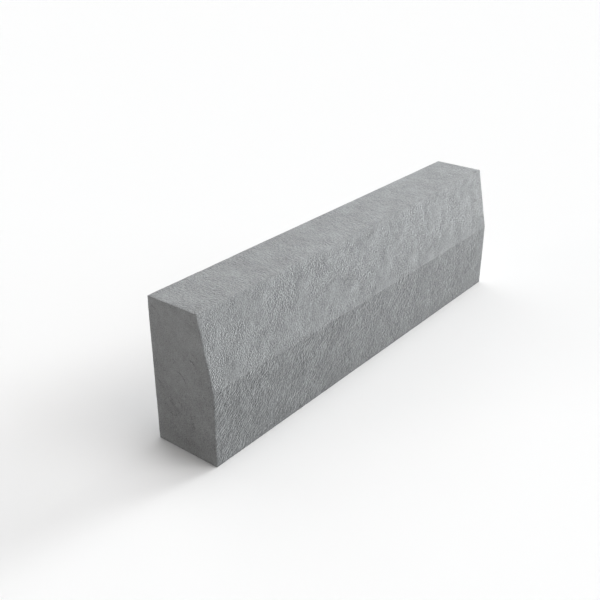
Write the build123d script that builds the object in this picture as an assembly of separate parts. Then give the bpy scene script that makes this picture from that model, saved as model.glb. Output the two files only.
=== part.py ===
from build123d import *
import os

# Precast concrete road kerb stone, one solid cast in one mould. Millimetres.
# The origin is the middle of the base: +X runs along the kerb, +Y faces the footway and +Z is up,
# so the road face looks towards -Y.

# Overall sizes, as the stone is ordered
LENGTH = 1000
HEIGHT = 300
BASE_WIDTH = 150

# Road face: upright from the base up to the break, then leaning back as far as the top's front arris
UPRIGHT_HEIGHT = 155
SETBACK = 30

# Radii left by the mould: a gentle bend along the break, and a small round on every arris
BREAK_RADIUS = 10
ARRIS_RADIUS = 2

BACK_Y = BASE_WIDTH / 2
ROAD_FACE_Y = -BASE_WIDTH / 2
TOP_FRONT_Y = ROAD_FACE_Y + SETBACK


def kerb_section():
    """The closed cross-section in the YZ plane, with its break already rounded."""
    break_point = (ROAD_FACE_Y, UPRIGHT_HEIGHT)
    with BuildSketch(Plane.YZ) as section:
        with BuildLine():
            Polyline(
                (BACK_Y, 0),
                (BACK_Y, HEIGHT),
                (TOP_FRONT_Y, HEIGHT),
                break_point,
                (ROAD_FACE_Y, 0),
                close=True,
            )
        make_face()
        break_corner = section.vertices().sort_by_distance(break_point)[0]
        fillet(break_corner, BREAK_RADIUS)
    return section.sketch


def end_arrises(stone):
    """Every edge round the two end faces."""
    from_left_to_right = stone.edges().group_by(Axis.X)
    return from_left_to_right[0] + from_left_to_right[-1]


def long_arrises(stone):
    """The full-length edges of the base and the top. The bend's own edges lie between them."""
    from_base_to_top = stone.edges().filter_by(Axis.X).group_by(Axis.Z)
    return from_base_to_top[0] + from_base_to_top[-1]


def kerb_stone():
    """The section carried along the whole length, with every arris rounded."""
    with BuildPart() as stone:
        extrude(kerb_section(), amount=LENGTH / 2, both=True)
        fillet(end_arrises(stone) + long_arrises(stone), ARRIS_RADIUS)
    return stone.part


os.makedirs("parts", exist_ok=True)
export_step(kerb_stone(), "parts/kerb_stone.step")
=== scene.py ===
import math

import bpy
import numpy as np
from mathutils import Euler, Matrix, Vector


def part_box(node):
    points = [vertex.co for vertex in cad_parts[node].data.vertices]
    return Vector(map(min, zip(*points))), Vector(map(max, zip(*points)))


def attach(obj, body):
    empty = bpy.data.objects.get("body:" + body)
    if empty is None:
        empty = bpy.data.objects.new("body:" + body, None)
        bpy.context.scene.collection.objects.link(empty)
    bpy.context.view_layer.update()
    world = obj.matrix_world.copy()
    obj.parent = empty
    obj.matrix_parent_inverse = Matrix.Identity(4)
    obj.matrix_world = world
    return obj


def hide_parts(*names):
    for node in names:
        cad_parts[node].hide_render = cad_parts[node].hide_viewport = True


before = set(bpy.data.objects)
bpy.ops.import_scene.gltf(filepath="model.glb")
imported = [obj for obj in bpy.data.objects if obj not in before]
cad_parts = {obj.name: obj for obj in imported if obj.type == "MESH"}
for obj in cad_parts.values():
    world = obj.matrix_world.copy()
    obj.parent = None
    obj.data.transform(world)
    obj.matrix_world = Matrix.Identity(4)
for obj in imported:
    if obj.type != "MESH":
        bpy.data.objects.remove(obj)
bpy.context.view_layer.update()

# Precast concrete road kerb stone. Metres. +X runs along the kerb and the near end looks towards -X,
# the road face looks towards -Y, and the base stands on the floor at z = 0.

# Sizes of the cast section, as in the solid
LOW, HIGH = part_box("kerb_stone")
LENGTH = HIGH[0] - LOW[0]
BASE_WIDTH = HIGH[1] - LOW[1]
HEIGHT = HIGH[2] - LOW[2]
UPRIGHT_HEIGHT = 0.155
SETBACK = 0.030
BREAK_RADIUS = 0.010

# Rounds of the skin's sharp arrises, along the stone and around its ends. Wear takes off more.
LONG_ARRIS_RADIUS = 0.0015
END_ARRIS_RADIUS = 0.0012

# How closely the skin is divided, in metres between points
LENGTHWISE_SPACING = 0.00285
ROAD_FACE_SPACING = 0.00275
TOP_SPACING = 0.0033
BACK_SPACING = 0.0060
BASE_SPACING = 0.0150

# Steps around a small round, around the bend of the road face, and from an end's outline to its middle
ARRIS_STEPS = 5
BREAK_STEPS = 6
END_FACE_STEPS = 24

# The part of a normal along its face's axis at which a point starts to belong to that face, and at which it
# wholly does: the ends along X, the top and the base along Z, and the leaning face, which looks a little up
END_TURN = (0.3, 0.8)
LEVEL_TURN = (0.4, 0.9)
LEANING_TURN = (0.05, 0.17)

# The lattice of the noise repeats after this many cells, and the gain brings its values to about -1 to 1
LATTICE_CELLS = 256
NOISE_GAIN = 1.6

# Layers of the cast relief: average depth, distance between hollows, and seed
WAVES = ((0.00022, 0.170, 3), (0.00016, 0.065, 4))
LEATHER = ((0.00030, 0.026, 5), (0.00014, 0.011, 6))
FRETTED_ARRIS = ((0.00010, 0.0065, 8),)

# Shares that the leather loses on the ends and on the top, and that the whole relief loses on the base
LEATHER_LOST_ON_ENDS = 0.7
LEATHER_LOST_ON_TOP = 0.6
RELIEF_LOST_ON_BASE = 0.85

# Wear of the arrises: how far in it reaches, its depth everywhere and its further depth in worn places, the
# distance between those places, the noise value at which they are fully worn, and the seed
WEAR_REACH = 0.005
WEAR_DEPTH = 0.00004
WORN_PLACE_DEPTH = 0.00022
WORN_PLACE_SIZE = 0.030
FULLY_WORN = 0.8
WEAR_SEED = 7

# Dents: how many, the share of them on the road face, how far they keep from the base and the top, the
# least part of a normal along Y where they show, and the least and most of their radius, depth and stretch
DENT_COUNT = 150
DENTS_ON_ROAD_FACE = 0.72
DENT_MARGIN = 0.01
DENTED_TURN = 0.6
DENT_RADIUS = (0.0030, 0.0065)
DENT_DEPTH = (0.00010, 0.00035)
DENT_STRETCH = (1.0, 2.6)
DENT_SEED = 41

# Painted light and shade, as the light falls on each face: how much paler than the average it is, as a
# share, at mid-height, and how much more at the very top
LEANING_PAINTED_LIGHT = (0.130, 0.055)
UPRIGHT_PAINTED_LIGHT = (0.055, 0.095)
END_PAINTED_LIGHT = (0.130, 0.175)
TOP_PAINTED_LIGHT = 0.075

# Painted light that grows along the stone: its share at the far end, with as much painted shade at the near
# end. Painted light at the foot of the ends, lifting the shade there, which fades out between two heights
FAR_END_PAINTED_LIGHT = 0.06
FOOT_PAINTED_LIGHT = 0.28
FOOT_PAINTED_LIGHT_HEIGHTS = (0.004, 0.024)

# How much stronger than the average the grain is, as a share: at the near end, what it gains further on,
# and the places along X where that gain starts and ends
UPRIGHT_GRAIN_GAIN = (-0.20, 0.17, (-0.50, 0.10))
LEANING_GRAIN_GAIN = (-0.11, 0.09, (-0.15, 0.40))

# Textures of the concrete: metres between lumps, how many finer layers they have, how strong those are,
# and an offset in metres that keeps one noise apart from another
CLOUDS = (0.048, 4.0, 0.85, (0.0, 0.0, 0.0))
SMEARS = (0.036, 4.0, 0.80, (5.1, 2.2, 0.7))
SPECKLE = (0.0022, 2.0, 0.60, (0.7, 2.9, 5.3))
BRUSH_MARKS = (0.0110, 2.0, 0.50, (2.6, 0.9, 4.1))
FLECKS = (0.0065, 1.0, 0.40, (8.2, 0.3, 1.9))
VEINS = (0.060, 3.0, 0.50, (4.4, 7.1, 0.6))
CRACKED_PLACES = (0.036, 1.0, 0.50, (2.7, 3.3, 8.0))
STREAKED_GRAIN = (0.0032, 1.0, 0.50, (1.3, 4.4, 2.2))
PITS = (0.0027, 1.0, 0.50, (9.1, 0.4, 6.6))
FINE_GRAIN = (0.0025, 1.0, 0.50, (6.0, 1.1, 3.7))
PATCHES = (0.060, 2.0, 0.50, (7.7, 5.2, 2.4))
MOTTLES = (0.030, 3.0, 0.55, (3.1, 1.7, 0.4))

# Noise values between which flecks darken, cracked places begin, patches go from rough to calm and mottles
# from smooth to rough, and how far from a vein's middle value its hairline fades out
FLECK_VALUES = (0.70, 0.80)
CRACKED_VALUES = (0.54, 0.62)
PATCH_VALUES = (0.36, 0.64)
MOTTLE_VALUES = (0.2, 0.8)
HAIRLINE_WIDTH = 0.010
NOISE_MIDDLE = 0.5

# How streaks, smears and hairlines run: their turn from +X, in degrees about X, Y and Z, and how many times
# longer than wide they are. Across the top the streaks have a share of their size.
UP_ROAD_FACE = ((0, -43, 0), 2.6)
ACROSS_TOP = ((0, 0, 95), 2.6)
SMEARED_DOWN_END = ((0, 22, -90), 2.2)
CRACKED_DOWN_END = ((0, 27, -90), 1.8)
STREAK_SHARE_ON_TOP = 0.92

# Streaks, smears and hairlines swirl and the near end's own marks waver: over what distance, and how far
SWIRL_SIZE = 0.110
SWIRL_REACH = 0.030
WAVER_SIZE = 0.009
WAVER_REACH = 0.004

# Tone of the cement, from dark at 0 to pale at 1: what it starts from, and the share of each part in it
DARK_CEMENT = (0.100, 0.100, 0.100, 1.0)
PALE_CEMENT = (0.470, 0.484, 0.492, 1.0)
TONE_START = -0.565
CLOUD_SHARE = 0.63
SPECKLE_SHARE = 1.20
BRUSH_MARK_SHARE = 0.30
FLECK_SHARE = -0.16
# The share of the painted light and shade on each face in the tone
PAINTED_LIGHT_SHARE = 0.755
HAIRLINE_SHARE = -0.20
SMEARED_ON_ENDS = 0.75

# Two hairline cracks and three dark smears on the near end, each along part of a circle: the circle's
# centre and the mark's middle as (y, z), half its width, its reach from its middle, and how much darker it
# is. Each starts to fade at a share of its reach.
END_MARKS = (
    ((0.0161, 0.1436), (0.0005, 0.1633), 0.0023, 0.021, 0.33),
    ((-0.0216, 0.1897), (-0.0300, 0.2006), 0.0023, 0.014, 0.33),
    ((0.0056, 0.1084), (0.0288, 0.0907), 0.0085, 0.026, 0.20),
    ((0.0692, 0.1165), (0.0564, 0.1255), 0.0080, 0.015, 0.15),
    ((0.1500, 0.0500), (-0.0168, 0.0734), 0.0070, 0.026, 0.11),
)
END_MARK_FADE = 0.4

# Grain: how high it stands, coarse and fine, its strength in rough and in calm patches, what its strength
# loses on each face, how much of the leaning face's grain is pits, how much of the top's patches is evened
# out, and how much of the fine grain is left on the faces that don't lean
GRAIN_HEIGHT = 0.0034
FINE_GRAIN_HEIGHT = 0.0011
ROUGH_PATCH_STRENGTH = 1.34
CALM_PATCH_STRENGTH = 0.66
GRAIN_LOST_ON_ENDS = 0.60
GRAIN_LOST_ON_TOP = 0.20
GRAIN_LOST_ON_LEANING = 0.24
PITTED_ON_LEANING = 0.6
EVENED_ON_TOP = 0.6
FINE_GRAIN_OFF_LEANING = 0.45

# Gloss: the roughness of smooth and of rough mottles, what worn arrises add to it, and the gloss's strength
SMOOTH_MOTTLE = 0.54
ROUGH_MOTTLE = 0.68
WORN_ROUGHNESS = 0.12
CEMENT_GLOSS = 0.5

# The studio: half the floor's width, its tone as seen and in the light it throws back, the room's own
# light, and the colours of the lamps
FLOOR_REACH = 40.0
FLOOR_AS_SEEN = (0.93, 0.93, 0.93, 1.0)
FLOOR_THROWN_BACK = (0.30, 0.30, 0.30, 1.0)
ROOM_COLOUR = (1.0, 1.0, 1.0, 1.0)
ROOM_STRENGTH = 0.10
PLAIN = (1.0, 1.0, 1.0)
COOL = (0.92, 1.01, 1.07)
WARM = (1.06, 0.99, 0.94)
DAYLIGHT = (0.982, 1.004, 1.014)

# Softboxes: name, width, height above the horizon and bearing from +X, in degrees, strength and colour
SOFTBOXES = (
    ("low_key", 18, 8, 344, 2.46, DAYLIGHT),
    ("low_far_end", 20, 8, 356, 1.62, DAYLIGHT),
    ("low_far_end_back", 20, 8, 30, 0.29, COOL),
    ("low_back_near_end", 20, 8, 150, 0.50, WARM),
    ("road_side", 40, 25, 300, 0.52, COOL),
    ("back", 40, 25, 120, 0.136, COOL),
    ("near_end", 40, 25, 180, 0.158, PLAIN),
    ("high_road_side", 40, 50, 288, 0.57, WARM),
    ("high_back", 40, 50, 72, 0.51, PLAIN),
    ("high_far_end", 40, 75, 0, 0.94, PLAIN),
    ("overhead", 16, 82, 342, 0.275, PLAIN),
)

# The photograph's viewpoint: lens and sensor in millimetres, the camera's place and how far it sees, and
# how far it looks down and is turned from +Y, in degrees
LENS = 50.0
SENSOR_WIDTH = 36.0
CAMERA_PLACE = (-1.3505, -0.9388, 0.9365)
CAMERA_SEES_TO = 200.0
CAMERA_LOOKS_DOWN = 26.501
CAMERA_TURN = -51.588


def smooth_step(low, high, value):
    """0 below low, 1 above high, and t * t * (3 - 2 * t) between them, where t is the share of the way."""
    t = np.clip((value - low) / (high - low), 0.0, 1.0)
    return t * t * (3.0 - 2.0 * t)


def gradient_noise(points, size, seed):
    """Gradient noise: a random unit slope stands on each corner of a lattice of that size, and a point
    takes the slopes of its cell's eight corners times its offsets from them, blended by
    6 * t**5 - 15 * t**4 + 10 * t**3, where t is its share of the way across the cell."""
    draw = np.random.default_rng(seed)
    slopes = draw.normal(size=(LATTICE_CELLS, 3))
    slopes /= np.linalg.norm(slopes, axis=1, keepdims=True)
    order = draw.permutation(LATTICE_CELLS)
    place = points / size
    cell = np.floor(place).astype(int)
    t = place - cell
    fade = t * t * t * (t * (6.0 * t - 15.0) + 10.0)
    total = np.zeros(len(points))
    for corner in np.ndindex(2, 2, 2):
        step = np.array(corner)
        i, j, k = (cell + step).T
        index = order[i % LATTICE_CELLS]
        index = order[(index + j) % LATTICE_CELLS]
        index = order[(index + k) % LATTICE_CELLS]
        weight = np.prod(np.where(step == 1, fade, 1.0 - fade), axis=1)
        total += weight * np.sum(slopes[index] * (t - step), axis=1)
    return NOISE_GAIN * total


def section_outline():
    """The closed outline of the section in (y, z), counter-clockwise seen from +X, and its outward normals.
    Straight runs join the corners, and a corner that turns by an angle is an arc:
    centre + radius * (cos(a) * first normal + sin(a) * first direction), a from 0 to the angle."""
    half = BASE_WIDTH / 2
    corners = np.array([
        (half, 0.0),
        (half, HEIGHT),
        (-half + SETBACK, HEIGHT),
        (-half, UPRIGHT_HEIGHT),
        (-half, 0.0),
    ])
    radii = [LONG_ARRIS_RADIUS, LONG_ARRIS_RADIUS, LONG_ARRIS_RADIUS, BREAK_RADIUS, LONG_ARRIS_RADIUS]
    steps = [ARRIS_STEPS, ARRIS_STEPS, ARRIS_STEPS, BREAK_STEPS, ARRIS_STEPS]
    spacings = [BACK_SPACING, TOP_SPACING, ROAD_FACE_SPACING, ROAD_FACE_SPACING, BASE_SPACING]
    ahead = np.roll(corners, -1, axis=0) - corners
    ahead /= np.linalg.norm(ahead, axis=1, keepdims=True)
    behind = np.roll(ahead, 1, axis=0)
    normal_before = np.stack([behind[:, 1], -behind[:, 0]], axis=1)
    turn = np.arccos(np.clip(np.sum(behind * ahead, axis=1), -1.0, 1.0))
    tangent = np.array(radii) * np.tan(turn / 2)
    points = []
    normals = []
    for k in range(len(corners)):
        a = np.linspace(0.0, turn[k], steps[k] + 1)[:, None]
        normal = np.cos(a) * normal_before[k] + np.sin(a) * behind[k]
        start = corners[k] - tangent[k] * behind[k]
        centre = start - radii[k] * normal_before[k]
        points.append(centre + radii[k] * normal)
        normals.append(normal)
        following = (k + 1) % len(corners)
        run_start = corners[k] + tangent[k] * ahead[k]
        run_end = corners[following] - tangent[following] * ahead[k]
        count = max(2, round(np.linalg.norm(run_end - run_start) / spacings[k]))
        share = np.arange(1, count)[:, None] / count
        points.append(run_start + share * (run_end - run_start))
        normals.append(np.repeat([[ahead[k][1], -ahead[k][0]]], count - 1, axis=0))
    return np.concatenate(points), np.concatenate(normals)


def kerb_rings():
    """Every ring of the skin as arrays (ring, point): places and normals. Along the stone the rings repeat
    the outline. Over the last radius r at each end, at an angle a from 0 to a quarter turn, x grows by
    r * sin(a) while the outline draws in by r * (1 - cos(a)) along its normals. On the end faces the
    drawn-in outline shrinks evenly towards the middle of the section."""
    outline, outward = section_outline()
    half = LENGTH / 2
    straight = half - END_ARRIS_RADIUS
    count = round(2 * straight / LENGTHWISE_SPACING)
    along = np.linspace(-straight, straight, count + 1)
    a = np.arange(1, ARRIS_STEPS + 1) / ARRIS_STEPS * math.pi / 2
    rounded = straight + END_ARRIS_RADIUS * np.sin(a)
    x = np.concatenate([-rounded[::-1], along, rounded])
    inset = np.concatenate([1 - np.cos(a)[::-1], np.zeros(len(along)), 1 - np.cos(a)]) * END_ARRIS_RADIUS
    lean = np.concatenate([-np.sin(a)[::-1], np.zeros(len(along)), np.sin(a)])

    section = outline[None] - inset[:, None, None] * outward[None]
    place = np.concatenate([np.broadcast_to(x[:, None, None], section.shape[:2] + (1,)), section], axis=2)
    normal = np.concatenate([
        np.broadcast_to(lean[:, None, None], section.shape[:2] + (1,)),
        np.sqrt(1 - lean**2)[:, None, None] * outward[None],
    ], axis=2)

    middle = np.array([0.0, HEIGHT / 2])
    shrink = (1 - np.arange(1, END_FACE_STEPS) / END_FACE_STEPS)[:, None, None]
    cap = middle + shrink * (section[-1][None] - middle)
    ones = np.ones(cap.shape[:2] + (1,))
    right = np.concatenate([half * ones, cap], axis=2)
    left = np.concatenate([-half * ones, cap[::-1]], axis=2)
    face_out = np.concatenate([ones, 0 * ones, 0 * ones], axis=2)
    return np.concatenate([left, place, right]), np.concatenate([-face_out, normal, face_out])


def face_shares(normals):
    """How far each point belongs to a struck end, to the top and to the leaning face, from 0 to 1, read off
    its normal: the ends look along X, the top looks up, and the leaning face looks a little up."""
    along = np.abs(normals[:, 0])
    up = normals[:, 2]
    struck = smooth_step(*END_TURN, along)
    top = smooth_step(*LEVEL_TURN, up)
    leaning = smooth_step(*LEANING_TURN, up) * (1 - top) * (1 - struck)
    return struck, top, leaning


def near_arris(points):
    """1 on the stone's straight arrises and falling to 0 over the reach of the wear: how near two faces
    both are. The distance to each face is taken, and the second smallest one counts. The road face counts
    as one, because the break between its upright and its leaning part isn't an arris."""
    half = BASE_WIDTH / 2
    rise = HEIGHT - UPRIGHT_HEIGHT
    x, y, z = points.T
    from_leaning = ((y + half) * rise - (z - UPRIGHT_HEIGHT) * SETBACK) / math.hypot(SETBACK, rise)
    from_road_face = np.minimum(y + half, from_leaning)
    distance = np.stack([LENGTH / 2 - np.abs(x), half - y, from_road_face, HEIGHT - z, z])
    second = np.sort(distance, axis=0)[1]
    return 1 - smooth_step(0.0, WEAR_REACH, second)


def hollows(points, layers):
    """The depth of layers of hollows, each depth * (1 + gradient noise of its size)."""
    return sum(depth * (1 + gradient_noise(points, size, seed)) for depth, size, seed in layers)


def dents(points, normals):
    """Shallow marks left by trapped air and grit: each is a flattened bowl, depth * (1 - d * d) squared,
    where d is the distance from its centre in radii, measured shorter along one slanting axis so that it
    is long."""
    draw = np.random.default_rng(DENT_SEED)
    x = draw.uniform(-LENGTH / 2, LENGTH / 2, DENT_COUNT)
    z = draw.uniform(DENT_MARGIN, HEIGHT - DENT_MARGIN, DENT_COUNT)
    side = np.where(draw.uniform(size=DENT_COUNT) < DENTS_ON_ROAD_FACE, -1.0, 1.0)
    radius = draw.uniform(*DENT_RADIUS, DENT_COUNT)
    depth = draw.uniform(*DENT_DEPTH, DENT_COUNT)
    long_axis = draw.uniform(0.0, math.pi, DENT_COUNT)
    stretch = draw.uniform(*DENT_STRETCH, DENT_COUNT)
    total = np.zeros(len(points))
    for k in range(DENT_COUNT):
        dx = points[:, 0] - x[k]
        dz = points[:, 2] - z[k]
        cosine = math.cos(long_axis[k])
        sine = math.sin(long_axis[k])
        across = (-sine * dx + cosine * dz) / radius[k]
        lengthways = (cosine * dx + sine * dz) / (radius[k] * stretch[k])
        d_squared = across**2 + lengthways**2
        inside = (normals[:, 1] * side[k] > DENTED_TURN) & (d_squared < 1)
        total += np.where(inside, depth[k] * (1 - np.minimum(d_squared, 1)) ** 2, 0.0)
    return total


def cast_relief(points, normals):
    """How far the cast surface lies inside the mould's line, in metres, and never outside it: slow waves,
    a leathery unevenness that is weaker on the ends and the top, dents, and arrises worn back unevenly.
    The base is flatter than the rest."""
    struck, top = face_shares(normals)[:2]
    base = smooth_step(*LEVEL_TURN, -normals[:, 2])
    arris = near_arris(points)
    leather = hollows(points, LEATHER) * (1 - LEATHER_LOST_ON_ENDS * struck)
    leather *= 1 - LEATHER_LOST_ON_TOP * top
    worn_places = smooth_step(0.0, FULLY_WORN, gradient_noise(points, WORN_PLACE_SIZE, WEAR_SEED))
    wear = arris * (WEAR_DEPTH + WORN_PLACE_DEPTH * worn_places)
    fret = arris * hollows(points, FRETTED_ARRIS)
    depth = hollows(points, WAVES) + leather + dents(points, normals) + wear + fret
    return np.maximum(depth, 0.0) * (1 - RELIEF_LOST_ON_BASE * base)


def painted_face_light(points, normals):
    """Painted light and shade, as a share of paleness over the average: each face is paler or darker as the
    light falls on it, darker towards the foot and paler towards the top, paler again at the very foot of
    the ends, lifting the shade there, and paler towards the far end. Each side has a share that holds at
    mid-height and one that grows evenly with height."""
    struck, top, leaning = face_shares(normals)
    upright = (1 - struck) * (1 - top) * (1 - leaning)
    above_middle = points[:, 2] / (HEIGHT / 2) - 1
    painted_light = top * TOP_PAINTED_LIGHT
    for face, (at_middle, growth) in (
        (leaning, LEANING_PAINTED_LIGHT),
        (upright, UPRIGHT_PAINTED_LIGHT),
        (struck, END_PAINTED_LIGHT),
    ):
        painted_light += face * (at_middle + growth * above_middle)
    # Painted light at the foot of the ends, lifting the shade where they meet the floor
    foot_light = FOOT_PAINTED_LIGHT * (1 - smooth_step(*FOOT_PAINTED_LIGHT_HEIGHTS, points[:, 2]))
    # Painted light that grows towards the far end, and painted shade towards the near end
    far_end_light = FAR_END_PAINTED_LIGHT * points[:, 0] / (LENGTH / 2)
    return painted_light + struck * foot_light + far_end_light


def grain_gain(points, normals):
    """How much stronger than the average the grain of the road face and the back is, as a share: it is
    weaker towards the near end and grows along the stone."""
    struck, top, leaning = face_shares(normals)
    upright = (1 - struck) * (1 - top) * (1 - leaning)
    gain = np.zeros(len(points))
    for face, (least, growth, places) in ((upright, UPRIGHT_GRAIN_GAIN), (leaning, LEANING_GRAIN_GAIN)):
        gain += face * (least + growth * smooth_step(*places, points[:, 0]))
    return gain


def smooth_mesh(name, points, quads, triangles):
    """A mesh object from arrays of points, quads and triangles, shaded smoothly."""
    mesh = bpy.data.meshes.new(name)
    mesh.vertices.add(len(points))
    mesh.vertices.foreach_set("co", points.astype(np.float32).ravel())
    corners = np.concatenate([quads.ravel(), triangles.ravel()]).astype(np.int32)
    mesh.loops.add(len(corners))
    mesh.loops.foreach_set("vertex_index", corners)
    sizes = np.concatenate([np.full(len(quads), 4), np.full(len(triangles), 3)])
    starts = np.concatenate([[0], np.cumsum(sizes)[:-1]]).astype(np.int32)
    mesh.polygons.add(len(sizes))
    mesh.polygons.foreach_set("loop_start", starts)
    mesh.polygons.foreach_set("use_smooth", np.ones(len(sizes), bool))
    mesh.update(calc_edges=True)
    mesh.validate()
    piece = bpy.data.objects.new(name, mesh)
    bpy.context.scene.collection.objects.link(piece)
    return piece


def kerb_skin():
    """The whole stone as one closed skin: the rings joined by quads, and each end closed by a fan of
    triangles to a point in the middle of its face. Every point moves in along its normal by the cast
    relief, and carries the marks that the concrete reads."""
    place, normal = kerb_rings()
    rings, around = place.shape[:2]
    half = LENGTH / 2
    poles = np.array([[-half, 0.0, HEIGHT / 2], [half, 0.0, HEIGHT / 2]])
    points = np.concatenate([place.reshape(-1, 3), poles])
    normals = np.concatenate([normal.reshape(-1, 3), [[-1.0, 0.0, 0.0], [1.0, 0.0, 0.0]]])
    points = points - cast_relief(points, normals)[:, None] * normals

    j = np.arange(around)
    j_next = (j + 1) % around
    i = np.arange(rings - 1)[:, None] * around
    quads = np.stack([i + j, i + j_next, i + around + j_next, i + around + j], axis=2).reshape(-1, 4)
    last = (rings - 1) * around
    left_pole = rings * around
    left_fan = np.stack([j_next, j, np.full(around, left_pole)], axis=1)
    right_fan = np.stack([last + j, last + j_next, np.full(around, left_pole + 1)], axis=1)
    piece = smooth_mesh("kerb_skin", points, quads, np.concatenate([left_fan, right_fan]))

    struck, top, leaning = face_shares(normals)
    marks = {
        "struck_end": struck,
        "top_face": top,
        "leaning_face": leaning,
        "worn_arris": near_arris(points),
        # Painted light and shade on each face, kept as paleness
        "painted_light_pale": painted_face_light(points, normals),
        "grain_gain": grain_gain(points, normals),
    }
    for name, values in marks.items():
        attribute = piece.data.attributes.new(name, "FLOAT", "POINT")
        attribute.data.foreach_set("value", values.astype(np.float32))
    return piece


class Finish:
    """A node material under construction, with one method for each kind of step in a recipe."""

    def __init__(self, name):
        self.material = bpy.data.materials.new(name)
        self.material.use_nodes = True
        self.tree = self.material.node_tree
        self.shader = self.tree.nodes["Principled BSDF"]
        self.place = self.tree.nodes.new("ShaderNodeTexCoord").outputs["Object"]

    def set(self, socket, value):
        """Joins a socket to another node's output, or sets it to a plain value."""
        if isinstance(value, bpy.types.NodeSocket):
            self.tree.links.new(value, socket)
        else:
            socket.default_value = value

    def math(self, operation, a, b=0.0, c=0.0):
        """One arithmetic step on up to three values."""
        n = self.tree.nodes.new("ShaderNodeMath")
        n.operation = operation
        for socket, value in zip(n.inputs, (a, b, c)):
            self.set(socket, value)
        return n.outputs["Value"]

    def times(self, a, b):
        """a * b."""
        return self.math("MULTIPLY", a, b)

    def plus(self, total, part, share):
        """total + part * share."""
        return self.math("ADD", total, self.times(part, share))

    def vector(self, operation, a, b=(0.0, 0.0, 0.0), c=(0.0, 0.0, 0.0)):
        """One arithmetic step on up to three vectors."""
        n = self.tree.nodes.new("ShaderNodeVectorMath")
        n.operation = operation
        for socket, value in zip(n.inputs, (a, b, c)):
            self.set(socket, value)
        return n.outputs["Vector"]

    def apart(self, a, b):
        """The distance between two places."""
        n = self.tree.nodes.new("ShaderNodeVectorMath")
        n.operation = "DISTANCE"
        self.set(n.inputs[0], a)
        self.set(n.inputs[1], b)
        return n.outputs["Value"]

    def mark(self, name):
        """The value of one of the skin's own attributes."""
        n = self.tree.nodes.new("ShaderNodeAttribute")
        n.attribute_name = name
        return n.outputs["Fac"]

    def cloudy(self, size, detail, roughness, place):
        """A noise node whose lumps are about that many metres apart, read at a place."""
        n = self.tree.nodes.new("ShaderNodeTexNoise")
        self.set(n.inputs["Vector"], place)
        n.inputs["Scale"].default_value = 1 / size
        n.inputs["Detail"].default_value = detail
        n.inputs["Roughness"].default_value = roughness
        return n

    def noise(self, texture):
        """A texture as cloudy noise from 0 to 1."""
        size, detail, roughness, offset = texture
        moved = self.tree.nodes.new("ShaderNodeMapping")
        self.set(moved.inputs["Vector"], self.place)
        moved.inputs["Location"].default_value = offset
        return self.cloudy(size, detail, roughness, moved.outputs["Vector"]).outputs["Fac"]

    def stirred(self, size, reach):
        """The place moved by 0 to reach metres along each axis, as a noise of that size says."""
        colour = self.cloudy(size, detail=1.0, roughness=0.5, place=self.place).outputs["Color"]
        return self.vector("MULTIPLY_ADD", colour, (reach, reach, reach), self.place)

    def drawn_out(self, texture, run):
        """A texture drawn out in swirling streaks along one slanting line, as noise from 0 to 1. The place
        is squeezed along the line that the run turns to, by the run's stretch."""
        size, detail, roughness, offset = texture
        turn, stretch = run
        squeezed = self.tree.nodes.new("ShaderNodeMapping")
        squeezed.vector_type = "TEXTURE"
        self.set(squeezed.inputs["Vector"], self.stirred(SWIRL_SIZE, SWIRL_REACH))
        squeezed.inputs["Location"].default_value = offset
        squeezed.inputs["Rotation"].default_value = [math.radians(a) for a in turn]
        squeezed.inputs["Scale"].default_value = (stretch, 1.0, 1.0)
        return self.cloudy(size, detail, roughness, squeezed.outputs["Vector"]).outputs["Fac"]

    def streaks(self, texture, top):
        """A texture in the streaks of each face: slanting up the road face, and finer across the top."""
        finer = (texture[0] * STREAK_SHARE_ON_TOP,) + texture[1:]
        return self.between(top, self.drawn_out(texture, UP_ROAD_FACE), self.drawn_out(finer, ACROSS_TOP))

    def between(self, share, a, b):
        """Value a where share is 0 and value b where it is 1."""
        n = self.tree.nodes.new("ShaderNodeMix")
        self.set(n.inputs["Factor"], share)
        self.set(n.inputs["A"], a)
        self.set(n.inputs["B"], b)
        return n.outputs["Result"]

    def blend(self, share, a, b):
        """Colour a where share is 0 and colour b where it is 1."""
        n = self.tree.nodes.new("ShaderNodeMix")
        n.data_type = "RGBA"
        self.set(n.inputs["Factor"], share)
        self.set(n.inputs["A"], a)
        self.set(n.inputs["B"], b)
        return n.outputs["Result"]

    def reach(self, value, low, high, new_low=0.0, new_high=1.0):
        """value from low..high carried to new_low..new_high, smoothly and clamped."""
        n = self.tree.nodes.new("ShaderNodeMapRange")
        n.interpolation_type = "SMOOTHSTEP"
        self.set(n.inputs["Value"], value)
        n.inputs["From Min"].default_value = low
        n.inputs["From Max"].default_value = high
        n.inputs["To Min"].default_value = new_low
        n.inputs["To Max"].default_value = new_high
        return n.outputs["Result"]

    def bump(self, height, distance, normal=None):
        """A shading normal from a height map in which 1 stands distance metres above 0."""
        n = self.tree.nodes.new("ShaderNodeBump")
        n.inputs["Strength"].default_value = 1.0
        n.inputs["Distance"].default_value = distance
        self.set(n.inputs["Height"], height)
        if normal is not None:
            self.set(n.inputs["Normal"], normal)
        return n.outputs["Normal"]

    def lean_reversed(self, grained):
        """A grained normal whose lean away from the surface is reversed along X, as the photograph's grain
        is: it looks lit from the near end while the stone itself is lit from the far end."""
        surface = self.tree.nodes.new("ShaderNodeNewGeometry").outputs["Normal"]
        lean = self.vector("MULTIPLY", self.vector("SUBTRACT", grained, surface), (-1.0, 1.0, 1.0))
        return self.vector("NORMALIZE", self.vector("ADD", surface, lean))

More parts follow.
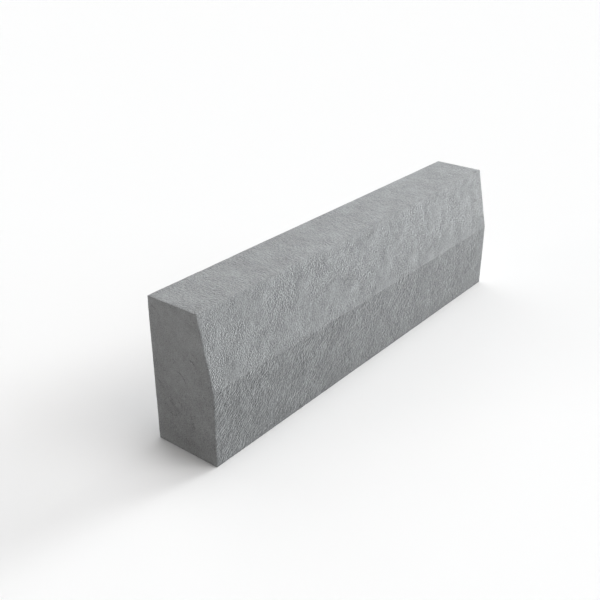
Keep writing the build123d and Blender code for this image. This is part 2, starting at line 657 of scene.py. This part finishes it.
    def arc_mark(self, centre, middle, half_width, reach):
        """1 along a short curved mark on the near end and 0 beside it. It follows the circle about centre
        through middle, wavers a little, and fades out at reach from its middle."""
        wavering = self.stirred(WAVER_SIZE, WAVER_REACH)
        shift = WAVER_REACH / 2
        x = -LENGTH / 2 + shift
        from_centre = self.apart(wavering, (x, centre[0] + shift, centre[1] + shift))
        beside = self.math("ABSOLUTE", self.math("SUBTRACT", from_centre, math.dist(centre, middle)))
        away = self.apart(wavering, (x, middle[0] + shift, middle[1] + shift))
        faded = self.reach(away, END_MARK_FADE * reach, reach, 1.0, 0.0)
        return self.times(self.reach(beside, 0.0, half_width, 1.0, 0.0), faded)


def hairlines(f, struck):
    """1 along fine cracks on the ends and 0 beside them. They follow the line where a slanting noise passes
    through its middle value, in cracked places only."""
    off_line = f.math("ABSOLUTE", f.math("SUBTRACT", f.drawn_out(VEINS, CRACKED_DOWN_END), NOISE_MIDDLE))
    cracked = f.times(f.reach(f.noise(CRACKED_PLACES), *CRACKED_VALUES), struck)
    return f.times(f.reach(off_line, 0.0, HAIRLINE_WIDTH, 1.0, 0.0), cracked)


def cement_tone(f, struck, top):
    """How pale the cement is, from 0 to 1: the sum of drying clouds, which are drawn out into smears on the
    ends, sand speckle, brush marks, dark flecks, painted light and shade on each face, hairlines and the
    near end's own marks, each times its share."""
    smeared = f.times(struck, SMEARED_ON_ENDS)
    clouds = f.between(smeared, f.noise(CLOUDS), f.drawn_out(SMEARS, SMEARED_DOWN_END))
    tone = f.math("MULTIPLY_ADD", clouds, CLOUD_SHARE, TONE_START)
    for part, share in (
        (f.noise(SPECKLE), SPECKLE_SHARE),
        (f.streaks(BRUSH_MARKS, top), BRUSH_MARK_SHARE),
        (f.reach(f.noise(FLECKS), *FLECK_VALUES), FLECK_SHARE),
        # Painted light and shade on each face
        (f.mark("painted_light_pale"), PAINTED_LIGHT_SHARE),
        (hairlines(f, struck), HAIRLINE_SHARE),
    ):
        tone = f.plus(tone, part, share)
    for centre, middle, half_width, reach, darker in END_MARKS:
        tone = f.plus(tone, f.arc_mark(centre, middle, half_width, reach), -darker)
    return tone


def sandy_grain(f, struck, top, leaning):
    """The grain as a shading normal. A coarse grain in streaks, partly pitted on the leaning face, carries
    a finer one. Both are stronger in rough patches than in calm ones, and weaker on the ends, the top and
    the leaning face."""
    pitted = f.times(leaning, PITTED_ON_LEANING)
    coarse = f.between(pitted, f.streaks(STREAKED_GRAIN, top), f.noise(PITS))
    patches = f.between(f.times(top, EVENED_ON_TOP), f.noise(PATCHES), NOISE_MIDDLE)
    strength = f.reach(patches, *PATCH_VALUES, ROUGH_PATCH_STRENGTH, CALM_PATCH_STRENGTH)
    strength = f.plus(strength, struck, -GRAIN_LOST_ON_ENDS)
    strength = f.plus(strength, top, -GRAIN_LOST_ON_TOP)
    strength = f.plus(strength, leaning, -GRAIN_LOST_ON_LEANING)
    strength = f.math("ADD", strength, f.mark("grain_gain"))
    fine_strength = f.times(strength, f.reach(leaning, 0.0, 1.0, FINE_GRAIN_OFF_LEANING, 1.0))
    grained = f.lean_reversed(f.bump(f.times(coarse, strength), GRAIN_HEIGHT))
    return f.bump(f.times(f.noise(FINE_GRAIN), fine_strength), FINE_GRAIN_HEIGHT, grained)


def cast_concrete():
    """Grey cement skin: its tone lies between dark and pale cement, its gloss is mottled and duller on worn
    arrises, and its sandy grain is a few tenths of a millimetre high."""
    f = Finish("cast_concrete")
    struck = f.mark("struck_end")
    top = f.mark("top_face")
    leaning = f.mark("leaning_face")
    f.set(f.shader.inputs["Base Color"], f.blend(cement_tone(f, struck, top), DARK_CEMENT, PALE_CEMENT))
    roughness = f.reach(f.noise(MOTTLES), *MOTTLE_VALUES, SMOOTH_MOTTLE, ROUGH_MOTTLE)
    f.set(f.shader.inputs["Roughness"], f.plus(roughness, f.mark("worn_arris"), WORN_ROUGHNESS))
    f.shader.inputs["Specular IOR Level"].default_value = CEMENT_GLOSS
    f.set(f.shader.inputs["Normal"], sandy_grain(f, struck, top, leaning))
    return f.material


def studio_floor():
    """A level pale floor, far wider than the view. It is near white to the camera and in gloss, and a mid
    grey in the light that it throws back, as a floor with dark surroundings is."""
    f = Finish("studio_floor")
    path = f.tree.nodes.new("ShaderNodeLightPath")
    seen = path.outputs["Is Camera Ray"]
    for ray in ("Is Glossy Ray", "Is Transmission Ray"):
        seen = f.math("MAXIMUM", seen, path.outputs[ray])
    f.set(f.shader.inputs["Base Color"], f.blend(seen, FLOOR_THROWN_BACK, FLOOR_AS_SEEN))
    f.shader.inputs["Roughness"].default_value = 1.0
    f.shader.inputs["Specular IOR Level"].default_value = 0.0
    corners = [(x * FLOOR_REACH, y * FLOOR_REACH, 0.0) for x, y in ((-1, -1), (1, -1), (1, 1), (-1, 1))]
    mesh = bpy.data.meshes.new("floor")
    mesh.from_pydata(corners, [], [(0, 1, 2, 3)])
    mesh.materials.append(f.material)
    floor = bpy.data.objects.new("floor", mesh)
    bpy.context.scene.collection.objects.link(floor)
    return floor


def way(elevation, azimuth):
    """The direction towards a lamp, from its height above the horizon and bearing from +X, in degrees."""
    e = math.radians(elevation)
    a = math.radians(azimuth)
    return Vector((math.cos(a) * math.cos(e), math.sin(a) * math.cos(e), math.sin(e)))


def soft_sun(name, width, elevation, azimuth, strength, colour):
    """A lamp of parallel light as wide as a softbox looks from the stone, width in degrees."""
    data = bpy.data.lights.new(name, "SUN")
    data.angle = math.radians(width)
    data.energy = strength
    data.color = colour
    lamp = bpy.data.objects.new(name, data)
    lamp.rotation_mode = "QUATERNION"
    lamp.rotation_quaternion = way(elevation, azimuth).to_track_quat("Z", "Y")
    bpy.context.scene.collection.objects.link(lamp)


def studio_light():
    """A dim even room and a ring of softboxes: a low key beyond the far end on the road side, lamps from
    there up to overhead, and weak fills behind the stone and beyond its near end."""
    world = bpy.data.worlds.new("studio_room")
    world.use_nodes = True
    background = world.node_tree.nodes["Background"]
    background.inputs["Color"].default_value = ROOM_COLOUR
    background.inputs["Strength"].default_value = ROOM_STRENGTH
    bpy.context.scene.world = world
    for softbox in SOFTBOXES:
        soft_sun(*softbox)


def camera():
    """The photograph's viewpoint: a 50 mm lens 1.8 m from the middle of the stone, off its near end on the
    road side, looking down at it."""
    data = bpy.data.cameras.new("camera")
    data.lens = LENS
    data.sensor_width = SENSOR_WIDTH
    data.clip_end = CAMERA_SEES_TO
    view = bpy.data.objects.new("camera", data)
    view.location = CAMERA_PLACE
    tilt = math.radians(90 - CAMERA_LOOKS_DOWN)
    view.rotation_euler = Euler((tilt, 0.0, math.radians(CAMERA_TURN)), "XYZ")
    bpy.context.scene.collection.objects.link(view)
    bpy.context.scene.camera = view


bpy.context.scene.view_settings.view_transform = "Standard"
camera()
skin = kerb_skin()
skin.data.materials.append(cast_concrete())
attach(skin, "root")
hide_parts("kerb_stone")
floor = studio_floor()
studio_light()
